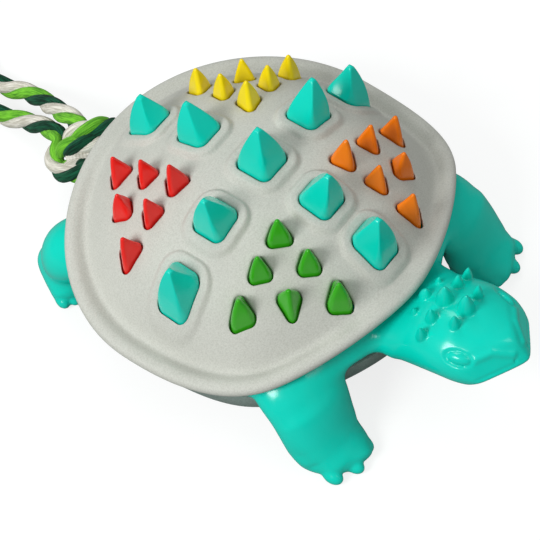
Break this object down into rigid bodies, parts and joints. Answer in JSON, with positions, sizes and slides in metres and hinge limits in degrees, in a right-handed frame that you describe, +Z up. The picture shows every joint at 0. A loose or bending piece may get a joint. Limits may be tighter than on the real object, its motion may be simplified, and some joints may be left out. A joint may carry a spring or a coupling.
{
  "type": "dog chew toy",
  "caption": "Turtle-shaped dog chew toy: a hard domed shell with windows for rubber spikes that press in, a soft teal body with head and legs, and a rope pull loop at the tail.",
  "frame": {"origin": "On the floor under the middle of the toy without its rope.", "axes": "The head points to -Y, the rope trails to +Y, +X is the toy's left side and +Z is up."},
  "size_m": [0.151, 0.337, 0.0934],
  "materials": {
    "hard_shell": "pale warm grey, fine sand texture",
    "belly_grey": "grey, matte",
    "teal_rubber": "teal, satin",
    "red_rubber": "red, satin",
    "yellow_rubber": "yellow, satin",
    "orange_rubber": "orange, satin",
    "green_rubber": "green, satin",
    "screw_steel": "plain steel",
    "squeaker_plastic": "off-white",
    "rope_cotton": "three-strand cotton in dark green, lime and off-white"
  },
  "bodies": {
    "toy": {"upper_shell": "hard_shell", "belly_shell": "belly_grey", "turtle_body": "teal_rubber", "belly_screw_1": "screw_steel", "belly_screw_2": "screw_steel", "belly_screw_3": "screw_steel", "belly_screw_4": "screw_steel", "squeaker_housing": "squeaker_plastic", "squeaker_reed": "squeaker_plastic", "squeaker_cap": "squeaker_plastic", "pull_rope": "rope_cotton", "rope_knot": "rope_cotton"},
    "teal_pad": {"teal_spike_pad": "teal_rubber"},
    "red_pad": {"red_spike_pad": "red_rubber"},
    "yellow_pad": {"yellow_spike_pad": "yellow_rubber"},
    "orange_pad": {"orange_spike_pad": "orange_rubber"},
    "green_pad": {"green_spike_pad": "green_rubber"}
  },
  "joints": [
    {"name": "teal_pad_press", "type": "slide", "parent": "toy", "child": "teal_pad", "axis": [0, 0, -1], "range_m": [0, 0.002], "stiffness_N_per_m": 800, "springref_m": -0.001},
    {"name": "red_pad_press", "type": "slide", "parent": "toy", "child": "red_pad", "axis": [0, 0, -1], "range_m": [0, 0.002], "stiffness_N_per_m": 800, "springref_m": -0.001},
    {"name": "yellow_pad_press", "type": "slide", "parent": "toy", "child": "yellow_pad", "axis": [0, 0, -1], "range_m": [0, 0.002], "stiffness_N_per_m": 800, "springref_m": -0.001},
    {"name": "orange_pad_press", "type": "slide", "parent": "toy", "child": "orange_pad", "axis": [0, 0, -1], "range_m": [0, 0.002], "stiffness_N_per_m": 800, "springref_m": -0.001},
    {"name": "green_pad_press", "type": "slide", "parent": "toy", "child": "green_pad", "axis": [0, 0, -1], "range_m": [0, 0.002], "stiffness_N_per_m": 800, "springref_m": -0.001}
  ]
}
